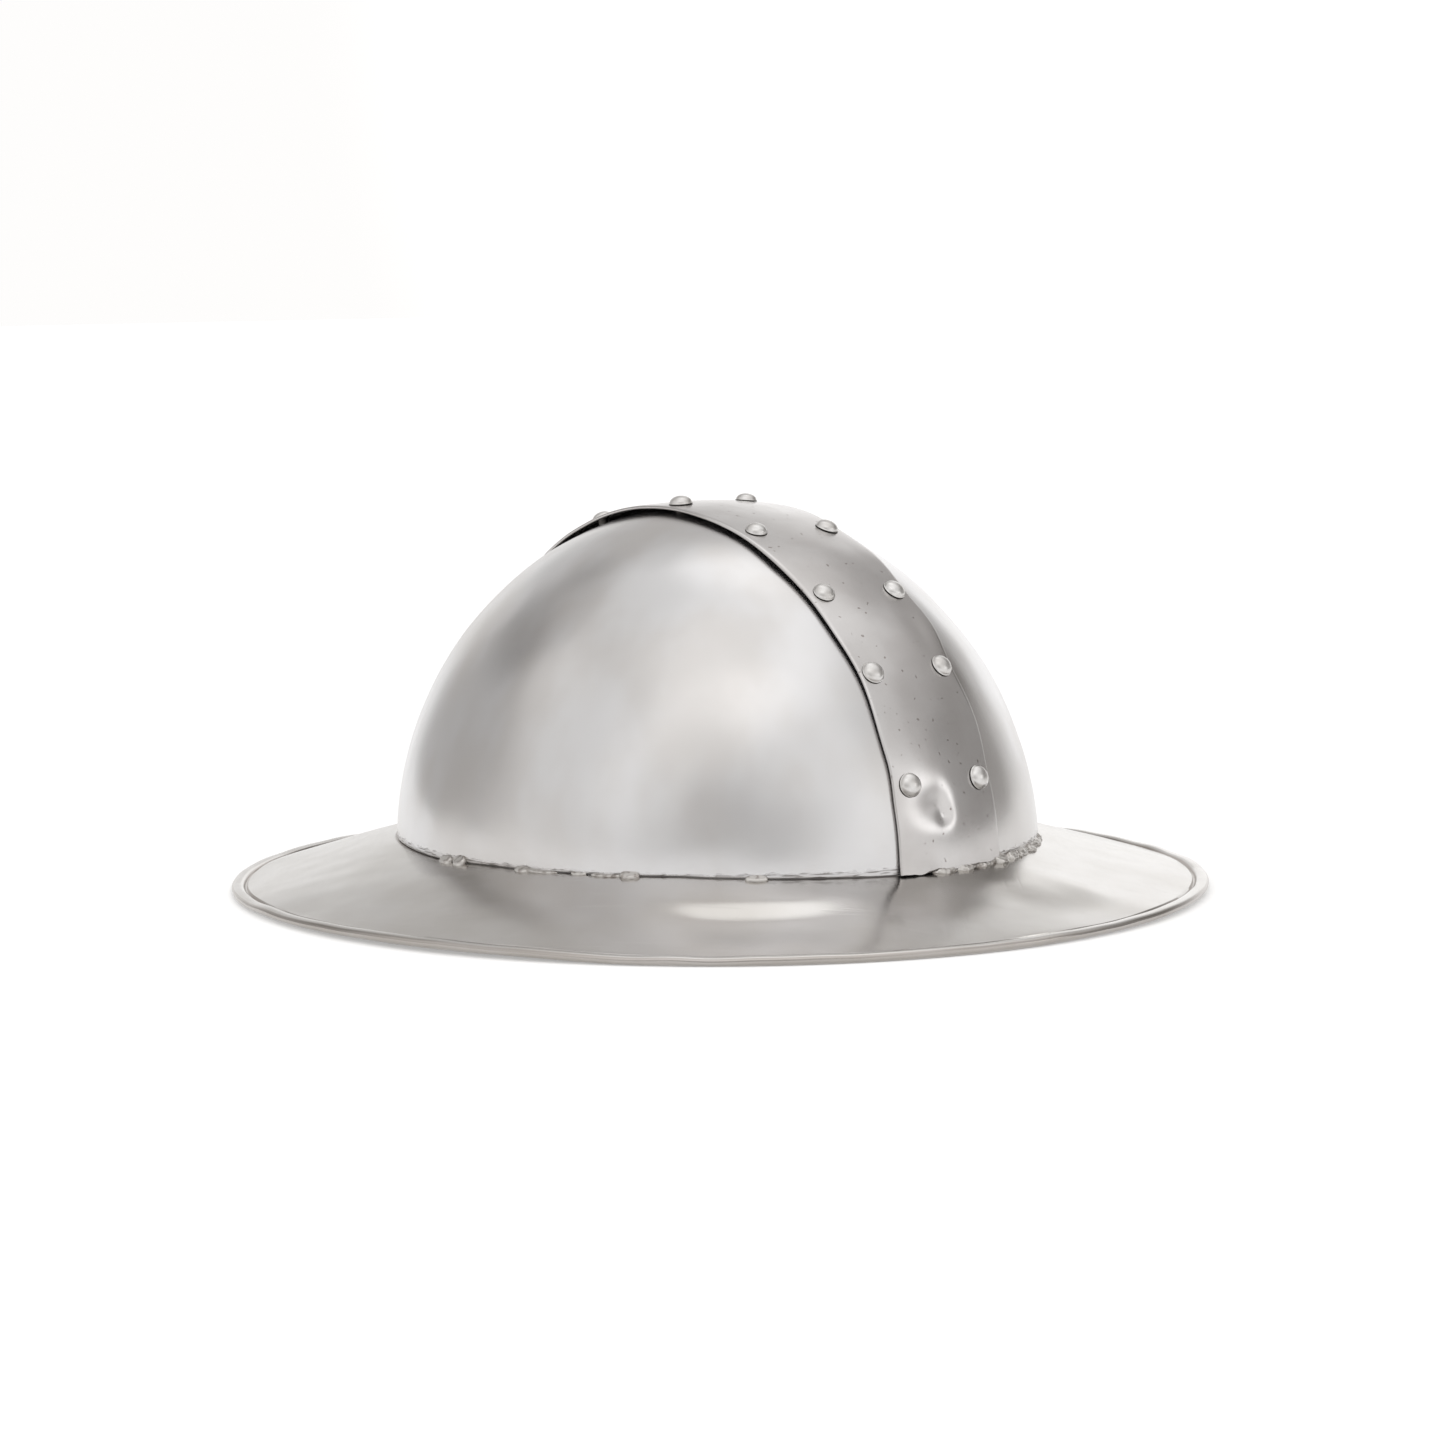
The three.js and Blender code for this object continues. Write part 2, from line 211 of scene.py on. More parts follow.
def tinted(tree, share, first, second):
    """A colour that goes from the first to the second with a share."""
    settings = {"data_type": "RGBA"}
    sockets = {0: share, 6: (*first, 1), 7: (*second, 1)}
    return node(tree, "ShaderNodeMix", settings, sockets, 2)


def dirtied(tree, bare, dirt):
    """A bare colour with the colour of its dirt multiplied in."""
    settings = {"data_type": "RGBA", "blend_type": "MULTIPLY"}
    return node(tree, "ShaderNodeMix", settings, {0: 1.0, 6: bare, 7: dirt}, 2)


def steel(name):
    """A new material for a steel piece: the material, its tree and the object's own coordinates."""
    material = bpy.data.materials.new(name)
    material.use_nodes = True
    tree = material.node_tree
    tree.nodes.clear()
    return material, tree, node(tree, "ShaderNodeTexCoord", {}, {}, "Object")


def finish_steel(tree, colour, roughness, relief, depth):
    """Metal with that colour, roughness and fine relief of a depth in millimetres."""
    bump = node(tree, "ShaderNodeBump", {}, {"Strength": 1.0, "Distance": depth * MM, "Height": relief})
    sockets = {"Base Color": colour, "Metallic": 1.0, "Roughness": roughness, "Normal": bump}
    metal = node(tree, "ShaderNodeBsdfPrincipled", {}, sockets)
    surface = tree.nodes.new("ShaderNodeOutputMaterial")
    tree.links.new(metal.socket, surface.inputs["Surface"])


def plan_share(tree, place, length, width):
    """How far a point lies from the hat's axis, where 1 is an outline of that half length and width,
    and how high it is in metres."""
    x = node(tree, "ShaderNodeSeparateXYZ", {}, {"Vector": place}, "X")
    y = Value(tree, x.socket.node.outputs["Y"])
    z = Value(tree, x.socket.node.outputs["Z"])
    across = x / (width * MM)
    along = y / (length * MM)
    return (across * across + along * along) ** 0.5, z


def beside_plane(tree, place, middle):
    """How many millimetres a point lies to either side of the upright plane at that x."""
    x = node(tree, "ShaderNodeSeparateXYZ", {}, {"Vector": place}, "X") - middle * MM
    return x.math("ABSOLUTE", x) / MM


def crown_finish():
    """Satin plate: soft blotches of polish and fine marks in two directions. A strip along its foot is ground
    bright, where the welds were dressed, and its foot under the band's ends is darkened as painted shade."""
    material, tree, place = steel("crown_steel")
    blotch = grain(tree, place, 44, (1, 1, 1.8), 3.0)
    cloud = grain(tree, place, 13, (1, 1, 2), 4.0)
    marks = grain(tree, place, 0.7, (1, 14, 3), 3.0, (0.4, 0.2, 0.3))
    cross = grain(tree, place, 0.5, (10, 1, 4), 2.0, (0.1, 0.5, -0.4))
    ragged = grain(tree, place, 3.5, (1, 1, 0.6), 3.0)
    share, height = plan_share(tree, place, half_length, half_width)
    above_seam = height / MM - seam_level
    strip = 1 - (above_seam + ragged * 3).over(ground_strip - 0.3, ground_strip + 0.3)
    scribble = strip * grain(tree, place, 0.8, (8, 8, 0.6), 2.0).over(0.5, 0.62)
    beside_band = beside_plane(tree, place, band_shift).over(band_shadow - 0.5, band_shadow + 0.5)
    # Painted shade: the crown's foot under the band's ends is darkened as if shaded by the band.
    shade_under_band = (1 - beside_band) * (1 - above_seam.over(1.8, 2.6))
    warm = (blotch.over(0.35, 0.7) * 0.7 + cloud * 0.3).over(0.1, 0.9)
    # Weld smoke in the ground strip's scribbles, plus the painted shade under the band's ends.
    smoke_and_shade = tinted(tree, scribble * 0.7 + shade_under_band, clean, smoke_and_shade_tone)
    colour = dirtied(tree, tinted(tree, warm, crown_pale, crown_warm), smoke_and_shade)
    roughness = crown_roughness + blotch * 0.09 + cloud * 0.07 + marks * 0.05 + strip * 0.1
    relief = marks * 0.5 + cross * 0.3 + strip * 14 - scribble * 9
    finish_steel(tree, colour, roughness, relief, crown_grain_depth)
    return material


def crown_half(name, side):
    """One half bowl, in sections from the front of the hat to its back. Each runs from the joint down the
    outside, round the foot's edge and up the inside."""
    foot_edge = {"depth": [0, 0.08, 0.3, 0.9, 1.12, 1.2], "lift": [0.4, 0.12, 0, 0, 0.12, 0.4]}
    foot_slant = 0.8
    outside = np.linspace(90, foot_slant, outside_steps)
    inside = np.linspace(foot_slant, 90, inside_steps)
    level = np.zeros(len(foot_edge["depth"]))
    slant = np.radians(np.concatenate([outside, level, inside]))
    depth = np.concatenate([0 * outside, foot_edge["depth"], crown_wall + 0 * inside])
    lift = np.concatenate([0 * outside, foot_edge["lift"], 0 * inside])
    end_sweep = 0.6
    sweep = np.radians(np.linspace(end_sweep, 180 - end_sweep, crown_sections))[:, None]
    x = side * (halves_slit / 2 + (half_width - halves_slit / 2) * np.sin(sweep) * np.cos(slant))
    y = -half_length * np.cos(sweep) + 0 * slant
    rise = (np.sin(sweep) * np.sin(slant)) ** (2 / crown_fullness)
    point, normal = on_crown(x, y, rise)
    flutes = undulation(point * np.array([1, 1, flute_stretch]), flute_width, flute_height, 10)
    relief = hammered(point, crown_hammering) + flutes * (1 - rise) ** 0.5
    rings = point + normal * (relief - depth)[..., None]
    rings[..., 2] += lift
    return loft(name, rings, False)


crown_steel = crown_finish()
for half_name, half_side in (("crown_half_right", -1), ("crown_half_left", 1)):
    half = crown_half(half_name + "_plate", half_side)
    half.data.materials.append(crown_steel)
    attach(half, "root")
    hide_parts(half_name)

# The median band: one strip of sheet steel, bent over the joint of the halves and riveted along both
# edges. It is flat across, so its edges stand off the dome, and its left edge bulges between the rivets.
# Its edges are filed round, its ends are torn where they were welded, and it is dented near the front.
seat_gap = 0.3
band_width = 44
band_wall = 1.2
band_foot = 1.2
band_lift = 2.2
scallop_lift = 0.35
scallop_reach = 1.3
right_scallop = 0.35
scallop_start = 0.65
row_spread = 31.2
band_sections = 330
band_columns = 45
inside_columns = 25
edge_turns = 7
band_tear = {"wavelength": [2.2, 0.8], "height": [0.8, 0.4], "seed": [8, 9]}
tear_length = 0.012
lip_across = -0.72
lip_width = 0.3
band_bow = {"wavelength": 26, "height": 0.22, "seed": 3}
band_ripple = {"wavelength": 11, "height": 0.07, "seed": 4}
dent_depth = 1.2
dent_along = 0.06
dent_length = 0.017
dent_across = -0.22
dent_right = 0.4
dent_left = 0.16
hook_depth = 0.6
hook_along = 0.05
hook_length = 0.007
hook_across = -0.13
hook_width = 0.11
band_roughness = 0.12
band_grain_depth = 0.004
band_pale = (0.62, 0.605, 0.6)
band_heated = (0.53, 0.51, 0.5)
pit_rust = (0.35, 0.3, 0.27)
band_shape = {
    "along": [0, 0.06, 0.11, 0.19, 0.3, 0.44, 0.56, 0.68, 0.8, 0.92, 1],
    "right_reach": [1.04, 1.03, 0.98, 0.94, 1, 1.03, 1.02, 1, 0.98, 1, 1.03],
    "left_reach": [1.05, 1.02, 0.97, 0.96, 1, 1, 1, 1, 0.98, 1, 1.03],
    "right_lift": [0, 0.05, 0.2, 0.35, 0.4, 0.55, 0.8, 0.9, 0.7, 0.3, 0],
    "left_lift": [0, 0.1, 0.25, 0.4, 0.4, 0.5, 0.5, 0.5, 0.5, 0.3, 0],
}
rivet_places = {
    "right": [0.083, 0.191, 0.282, 0.385, 0.492, 0.608, 0.712, 0.815, 0.917],
    "left": [0.082, 0.191, 0.279, 0.382, 0.496, 0.61, 0.714, 0.813, 0.918],
}
foot_angle = math.asin((band_foot / crown_height) ** (crown_fullness / 2))


def band_side(across, along, column):
    """A column of the band's table on the side that a point lies on."""
    right = eased(along, band_shape["along"], band_shape["right_" + column])
    left = eased(along, band_shape["along"], band_shape["left_" + column])
    return np.where(across < 0, right, left)


def bulge(across, along):
    """How far the band's edge bulges between two rivets: 0 at each rivet, all of it halfway."""
    bulges = []
    for row in ("right", "left"):
        places = np.array(rivet_places[row])
        nearest = np.clip(np.searchsorted(places, along) - 1, 0, len(places) - 2)
        share = np.clip((along - places[nearest]) / (places[nearest + 1] - places[nearest]), 0, 1)
        bulges.append(np.sin(np.pi * share) ** 2)
    return np.where(across < 0, right_scallop * bulges[0], bulges[1])


def on_band(across, along, height, out=0):
    """The band at a share across it (-1 right edge, 1 left edge) and along it, at a height in its own
    thickness, moved outwards past that share: points, normals and the standoff from the crown."""
    edge = np.clip((np.abs(across) - scallop_start) / (1 - scallop_start), 0, 1)
    swell = bulge(across, along) * edge**2 * (3 - 2 * edge)
    reach = across * band_width / 2 * band_side(across, along, "reach")
    x = band_shift + reach + np.sign(across) * (out + scallop_reach * swell)
    angle = foot_angle + (np.pi - 2 * foot_angle) * along
    y = -half_length * np.sqrt(1 - (x / half_width) ** 2) * np.cos(angle)
    lift = band_lift * band_side(across, along, "lift") * across**2
    lift = lift + scallop_lift * swell
    point, normal = on_crown(x, y)
    dent_side = (across - dent_across) / np.where(across < dent_across, dent_right, dent_left)
    dent = dent_depth * np.exp(-(((along - dent_along) / dent_length) ** 2) - dent_side**2)
    hook_side = (across - hook_across) / hook_width
    dent = dent + hook_depth * np.exp(-(((along - hook_along) / hook_length) ** 2) - hook_side**2)
    bow = undulation(point, **band_bow) * (1 - 0.5 * edge)
    lift = lift + bow + undulation(point, **band_ripple) - dent
    return point + normal * (seat_gap + lift + height)[..., None], normal, seat_gap + lift


def band_strip():
    """The strip as rounded sections, one after the other along it."""
    turns = np.radians(np.linspace(90, -90, edge_turns))[1:-1]
    radius = band_wall / 2
    columns = []
    for face_columns, height, edge_side in ((band_columns, band_wall, 1), (inside_columns, 0, -1)):
        for across in np.linspace(-edge_side, edge_side, face_columns):
            columns.append((across, height, -radius * abs(across)))
        for turn in turns * edge_side:
            columns.append((edge_side, radius + radius * math.sin(turn), radius * (math.cos(turn) - 1)))
    across, height, out = np.array(columns).T
    along = np.linspace(0, 1, band_sections)[:, None]
    grid = np.ones((len(along), len(across)))
    point, normal, standoff = on_band(across * grid, along * grid, height * grid, out * grid)
    edge = np.stack([across * 9, 0 * across, 0 * across], -1)
    torn = hammered(edge, band_tear) - 0.5
    lip = np.exp(-(((across - lip_across) / lip_width) ** 2))
    for end_along in (0, 1):
        near_end = np.clip(1 - np.abs(along - end_along) / tear_length, 0, 1) ** 2
        point[..., 2] += near_end * np.clip(torn - 1.1 * lip, -1.7, 1)
        point += normal * (near_end * 0.5 * lip)[..., None]
    return loft("median_band", point, False)


def band_finish():
    """Darker satin strip, polished lengthwise, its tone warmer where it was heated, with a few pits."""
    material, tree, place = steel("band_steel")
    blotch = grain(tree, place, 30, detail=3.0)
    marks = grain(tree, place, 0.45, (1, 30, 30), 3.0)
    cloud = grain(tree, place, 9, detail=4.0)
    specks = grain(tree, place, 1.6, detail=0.0).over(0.78, 0.83)
    pitted = tinted(tree, specks * 0.6, clean, pit_rust)
    colour = dirtied(tree, tinted(tree, blotch.over(0.3, 0.7), band_pale, band_heated), pitted)
    roughness = band_roughness + blotch * 0.09 + cloud * 0.08 + marks * 0.06
    finish_steel(tree, colour, roughness, marks - specks * 3, band_grain_depth)
    return material


band = band_strip()
band.data.materials.append(band_finish())
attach(band, "root")
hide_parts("band")

# The brim: one sheet of steel that slopes down from the crown's foot, its rim rolled over into a flat
# hem. It was beaten by hand, so the sheet swells in places, the rim waves and the hem's crease varies.
brim_high = np.array(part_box("brim")[1]) / MM
roll_width = 5
brim_wall = 1.2
brim_ledge = 2.6
brim_sections = 420
top_steps = 56
under_steps = 36
hem_sink = 0.55
brim_hammering = {"wavelength": [42, 15], "height": [0.75, 0.12], "seed": [5, 6]}
hem_wave = 17
hem_wave_height = 0.35
crease_azimuth = -13
crease_depth = 0.4
crease_width = 0.9
crease_twist = 14
brim_roughness = 0.11
brim_grain_depth = 0.0025
brim_pale = (0.62, 0.605, 0.59)
brim_worn = (0.56, 0.54, 0.515)
# The tone of the dark crack at the crown, also used for the hem's painted shade and painted reflection.
crack_and_shade_tone = (0.33, 0.27, 0.23)
rim_wave = 1.4
brim_swells = {
    "azimuth": [-37.5, 10],
    "half_angle": [12.5, 7],
    "start": [0.24, 0.1],
    "crest": [0.46, 0.47],
    "end": [1, 0.8],
    "height": [-2.5, 1.5],
}
roll_length = brim_high[1] - roll_width / 2
roll_breadth = brim_high[0] - roll_width / 2


def on_brim(azimuth, share, out, up):
    """The brim's middle layer at an azimuth in degrees and a share of the way to the roll."""
    sine = np.sin(np.radians(azimuth))
    cosine = np.cos(np.radians(azimuth))
    foot = np.stack([half_width * sine, -half_length * cosine], -1)
    rim = np.stack([roll_breadth * sine, -roll_length * cosine], -1)
    outwards = (rim - foot) / np.linalg.norm(rim - foot, axis=-1, keepdims=True)
    plan = foot + (rim - foot) * share[..., None] + outwards * out[..., None]
    wave = eased(azimuth, hat_waves["azimuth"], hat_waves["seam"])
    foot_level = seam_level + seam_wave * wave - seat_gap - brim_wall / 2
    rim_level = roll_height / 2 + rim_wave * eased(azimuth, hat_waves["azimuth"], hat_waves["rim"])
    return np.concatenate([plan, (foot_level + (rim_level - foot_level) * share + up)[..., None]], -1)


def brim_sheet():
    """The brim as closed sections, one after the other round the hat."""
    half_wall = brim_wall / 2
    hem = {
        "out": [-1.22, -1.1, -1.0, -0.93, -0.88, -0.83, -0.76, -0.66, -0.52, -0.36, -0.15, 0.1, 0.35, 0.57,
                0.76, 0.9, 0.98, 1, 0.97, 0.88, 0.72, 0.45, 0, -0.45, -0.7, -0.88, -0.97],
        "up": [-0.03, -0.02, 0.04, 0.14, 0.28, 0.44, 0.6, 0.74, 0.86, 0.94, 0.99, 1, 0.96, 0.86, 0.7, 0.48,
               0.24, 0, -0.24, -0.5, -0.75, -1, -1, -1, -0.86, -0.7, -0.6],
    }
    hem_start = 0.94
    top = np.linspace(0, hem_start, top_steps)
    under = np.linspace(hem_start, 0, under_steps)
    share = np.concatenate([[0], top, np.ones(len(hem["out"])), under, [0]])
    hem_out = np.array(hem["out"]) * roll_width / 2
    hem_up = np.array(hem["up"]) * roll_height / 2
    out = np.concatenate([[-brim_ledge], 0 * top, hem_out, 0 * under, [-brim_ledge]])
    up = np.concatenate([[half_wall], half_wall - hem_sink * top**4, hem_up,
                         -half_wall - hem_sink * under**4, [-half_wall]])
    azimuth = np.linspace(-180, 180, brim_sections + 1)[:-1, None]
    grid = np.ones((len(azimuth), len(share)))
    point = on_brim(azimuth * grid, share * grid, out * grid, up * grid)
    middle = on_brim(azimuth * grid, share * grid, 0 * grid, 0 * grid)
    sheet = np.clip(share / 0.2, 0, 1) * np.clip((1 - share) / 0.08, 0, 1)
    from_crease = (azimuth - crease_azimuth + crease_twist * share) / crease_width
    crease = -crease_depth * np.exp(-(from_crease**2)) * np.clip(1 - share / 0.4, 0, 1)
    relief = hammered(middle, brim_hammering) * sheet
    for swell_azimuth, half_angle, start, crest, end, height in zip(*brim_swells.values()):
        beside = np.exp(-(((azimuth - swell_azimuth) / half_angle) ** 4))
        relief = relief + beside * eased(share, [start, crest, end], [0, height, 0])
    relief = relief + crease * np.clip(share / 0.03, 0, 1)
    hem_part = (share == 1) & (up > -roll_height / 2 + 0.01)
    uneven = undulation(middle, hem_wave, hem_wave_height, 7) * hem_part * np.clip(up + roll_height / 2, 0, 1)
    point[..., 2] += relief + uneven
    return loft("brim_sheet", point, True)


def brim_finish():
    """Satin sheet, polished round the hat, with scratches, a dark crack at the crown, painted shade in the
    hem's crease and a painted dark reflection on the hem's outer face.
    """
    material, tree, place = steel("brim_steel")
    blotch = grain(tree, place, 36, detail=3.0)
    cloud = grain(tree, place, 10, detail=4.0)
    share = plan_share(tree, place, half_length, half_width)[0]
    marks = grain(tree, place, 0.6, (18, 2, 6), 3.0, (0, 0, 0.9))
    cross = grain(tree, place, 0.5, (2, 16, 6), 2.0, (0, 0, -0.5))
    scratch = grain(tree, place, 0.7, (1, 70, 6), 0.0, (0, 0, 0.7)).over(0.75, 0.8)
    scrape = grain(tree, place, 0.9, (1, 50, 6), 0.0, (0, 0, -0.6)).over(0.77, 0.82)
    crack = 1 - share.over(1.003, 1.01)
    hem_share = plan_share(tree, place, roll_length, roll_breadth)[0]
    # Painted shade: a dark line along the hem's inner crease.
    painted_crease_shade = hem_share.over(0.981, 0.984) * (1 - hem_share.over(0.988, 0.991))
    # Painted reflection: the hem's outer face is darkened as if it mirrored a shaded floor.
    painted_dark_reflection = hem_share.over(1.009, 1.012)
    # The dark crack at the crown, with the hem's painted shade and painted reflection.
    cracked_and_shaded = tinted(tree, crack * 0.35 + painted_crease_shade * 0.7 + painted_dark_reflection * 0.4, clean, crack_and_shade_tone)
    colour = dirtied(tree, tinted(tree, blotch.over(0.3, 0.7), brim_pale, brim_worn), cracked_and_shaded)
    roughness = brim_roughness + blotch * 0.08 + cloud * 0.06 + marks * 0.05 + crack * 0.15
    relief = marks * 0.5 + cross * 0.3 - scratch * 5 - scrape * 5
    finish_steel(tree, colour, roughness, relief, brim_grain_depth)
    return material


brim = brim_sheet()
brim.data.materials.append(brim_finish())
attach(brim, "root")
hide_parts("brim")

# The weld metal: tacks and crumbs round the crown's foot, and one rough bead from under the band's front
# end towards the wearer's left. The lumps overlap and are fused into one skin.
lump_length = 8
lump_width = 4.4
lump_height = 1.9
bead_start = -4
bead_end = 42
bead_step = 0.9
ground_slant = Vector((0, -0.5, 0.87))
ground_level = 0.6
skin_grain = 0.27
weld_roughness = 0.2
weld_grain_depth = 0.05
weld_scale = (0.3, 0.27, 0.25)
weld_ground = (0.6, 0.58, 0.555)
weld_lumps = {
    "azimuth": [-97, -93, -78, -74, -67, -62, -58, -37, -2, 3, 8, 13, 18, 23, 28, 34, 39, 96, 140, 176],
    "length": [0.9, 0.8, 0.9, 1.6, 0.8, 1.5, 0.9, 1, 1, 0.9, 0.8, 0.9, 0.8, 1, 0.9, 1, 0.8, 0.9, 1, 1],
    "width": [1, 1, 0.8, 0.7, 0.6, 0.7, 1, 0.9, 1, 1.1, 0.9, 1.4, 1, 0.8, 1, 0.8, 0.7, 0.9, 1, 1],
    "height": [1, 1.3, 0.7, 0.4, 0.5, 0.4, 0.9, 0.7, 0.9, 1, 0.8, 1.3, 1, 0.9, 1, 0.8, 0.7, 0.8, 0.9, 0.9],
    "rough": [0.3, 0.2, 0.3, 0.3, 0.8, 0.3, 0.15, 0.2, 1, 1, 1, 1, 1, 1, 1, 1, 1, 0.5, 0.5, 0.5],
}


def weld_metal():
    """The lumps as one fused skin, ground off at a slant, with small rough beads along the bead."""
    work = bmesh.new()
    lumps = list(zip(*weld_lumps.values()))
    for azimuth in np.arange(bead_start, bead_end, bead_step):
        chance = [abs(noise.noise(Vector((azimuth * 1.7, shift, 0)))) for shift in (3.3, 6.1, 9.4)]
        lumps.append((azimuth, 0.15 + chance[0] * 0.6, 0.4 + chance[1], 0.35 + chance[2] * 1.1, 1.3))
    for azimuth, length, width, height, rough in lumps:
        reach = np.array([width * lump_width / 5 - 0.3])
        foot = on_brim(np.array([azimuth]), np.array([0.0]), reach, np.array([brim_wall / 2]))[0]
        half_size = (length * lump_length / 2, width * lump_width / 2, height * lump_height * 1.3)
        size = Matrix.Diagonal((*half_size, 1))
        place = Matrix.Translation(foot) @ Matrix.Rotation(math.radians(azimuth), 4, "Z") @ size
        for vertex in bmesh.ops.create_icosphere(work, subdivisions=4, radius=1)["verts"]:
            vertex.co -= ground_slant * max(0, vertex.co.dot(ground_slant) - ground_level)
            vertex.co = place @ vertex.co
            way = (vertex.co - Vector(foot)).normalized()
            uneven = noise.noise(vertex.co / 1.4) * 0.45 + noise.noise(vertex.co / 0.6) * 0.2
            vertex.co += way * uneven * rough
            vertex.co *= MM
    mesh = bpy.data.meshes.new("weld_lumps")
    work.to_mesh(mesh)
    work.free()
    loose = bpy.data.objects.new("weld_lumps", mesh)
    bpy.context.scene.collection.objects.link(loose)
    fused = loose.modifiers.new("fused", "REMESH")
    fused.mode = "VOXEL"
    fused.voxel_size = skin_grain * MM
    plain = bpy.data.meshes.new_from_object(loose.evaluated_get(bpy.context.evaluated_depsgraph_get()))
    bpy.data.objects.remove(loose)
    plain.shade_smooth()
    weld = bpy.data.objects.new("weld_metal", plain)
    bpy.context.scene.collection.objects.link(weld)
    return weld


def weld_finish():
    """Rough weld metal, ground bright on top and dark with scale between."""
    material, tree, place = steel("weld_steel")
    cloud = grain(tree, place, 2.2, detail=4.0)
    pits = grain(tree, place, 0.6, detail=2.0)
    colour = tinted(tree, cloud.over(0.3, 0.55), weld_scale, weld_ground)
    finish_steel(tree, colour, weld_roughness + cloud * 0.25, pits, weld_grain_depth)
    return material


weld = weld_metal()
weld.data.materials.append(weld_finish())
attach(weld, "root")

# The rivets: low domed heads with a thin flange, peened over inside the crown, in two rows along the
# band. Each row's places come from the band's table, and each head is set square to the band.
head_diameter = 8.2
head_height = 2.8
head_flange = 0.42
head_sides = 40
tail_diameter = 6
tail_height = 1.1
tail_sides = 28
shank_diameter = 4
shank_length = 3
# How high up each head the painted shade round its flange reaches.
rim_shade_height = 0.3
hammer_depth = 0.05
hammer_scale = 260.0
least_size = 0.96
greatest_size = 1.05
rivet_roughness = 0.2
rivet_grain_depth = 0.003
rivet_bright = (0.68, 0.67, 0.66)
rivet_dull = (0.56, 0.54, 0.52)
# The colour of the painted shade round each head's flange.
rim_shade_black = (0.1, 0.09, 0.08)


def turned(name, profile, sides, shaded_below):
    """A turned piece from a profile of radii and heights that starts and ends on its axis. Its points
    below a height are marked for painted shade."""
    radius, height = np.array(profile).T
    turn = np.radians(np.arange(sides) * 360 / sides)[:, None]
    rings = np.stack([radius * np.cos(turn), radius * np.sin(turn), height + 0 * turn], -1)
    piece = loft(name, rings, True)
    painted_rim_shade = piece.data.attributes.new("painted_rim_shade", "FLOAT", "POINT")
    painted_rim_shade.data.foreach_set("value", [float(vertex.co.z < shaded_below * MM) for vertex in piece.data.vertices])
    return piece


def rivet_head():
    """A head on its shank: a thin flange with a rounded edge, and the dome on it."""
    radius = head_diameter / 2
    shank = shank_diameter / 2
    dome_height = head_height - head_flange
    profile = [(0, -shank_length), (shank, -shank_length), (shank, 0.05), (radius - 0.3, 0.05)]
    profile += [(radius - 0.06, 0.12), (radius, 0.24), (radius - 0.05, 0.36), (radius - 0.16, head_flange)]
    for turn in np.radians(np.linspace(4, 84, 12)):
        profile.append(((radius - 0.24) * math.cos(turn), head_flange + dome_height * math.sin(turn)))
    profile.append((0, head_height))
    return turned("rivet_head", profile, head_sides, rim_shade_height)


def rivet_tail():
    """A tail peened flat, with a blunt edge."""
    radius = tail_diameter / 2
    profile = [(0, 0), (radius - 0.2, 0), (radius, -0.2), (radius - 0.1, -0.6)]
    profile += [(radius - 0.7, -tail_height * 0.9), (1.2, -tail_height), (0, -tail_height)]
    return turned("rivet_tail", profile, tail_sides, -tail_height)


def seat_points():
    """A vertex on the band for each rivet, with its axis and the way to the crown's inside."""
    points = []
    axes = []
    inwards = []
    step = 0.01
    for row, side in (("right", -1), ("left", 1)):
        along = np.array(rivet_places[row])
        across = side * row_spread / band_width / band_side(side, along, "reach")
        seat, normal, standoff = on_band(across, along, band_wall + 0 * along)
        sideways = on_band(across + step, along, band_wall + 0 * along)[0] - seat
        onwards = on_band(across, along + step, band_wall + 0 * along)[0] - seat
        axis = np.cross(sideways, onwards)
        axis /= np.linalg.norm(axis, axis=-1, keepdims=True)
        lean = np.arccos(np.clip((axis * normal).sum(-1), -1, 1))
        grip = (standoff + band_wall + crown_wall) / np.cos(lean) + tail_diameter / 2 * np.tan(lean) * 0.6
        points.append(seat)
        axes.append(axis)
        inwards.append(-axis * grip[:, None])
    mesh = bpy.data.meshes.new("rivet_seats")
    mesh.from_pydata((np.concatenate(points) * MM).tolist(), [], [])
    for name, values in (("axis", axes), ("inwards", inwards)):
        scale = 1 if name == "axis" else MM
        stored = mesh.attributes.new(name, "FLOAT_VECTOR", "POINT")
        stored.data.foreach_set("vector", (np.concatenate(values) * scale).ravel())
    seats = bpy.data.objects.new("rivet_seats", mesh)
    bpy.context.scene.collection.objects.link(seats)
    return seats


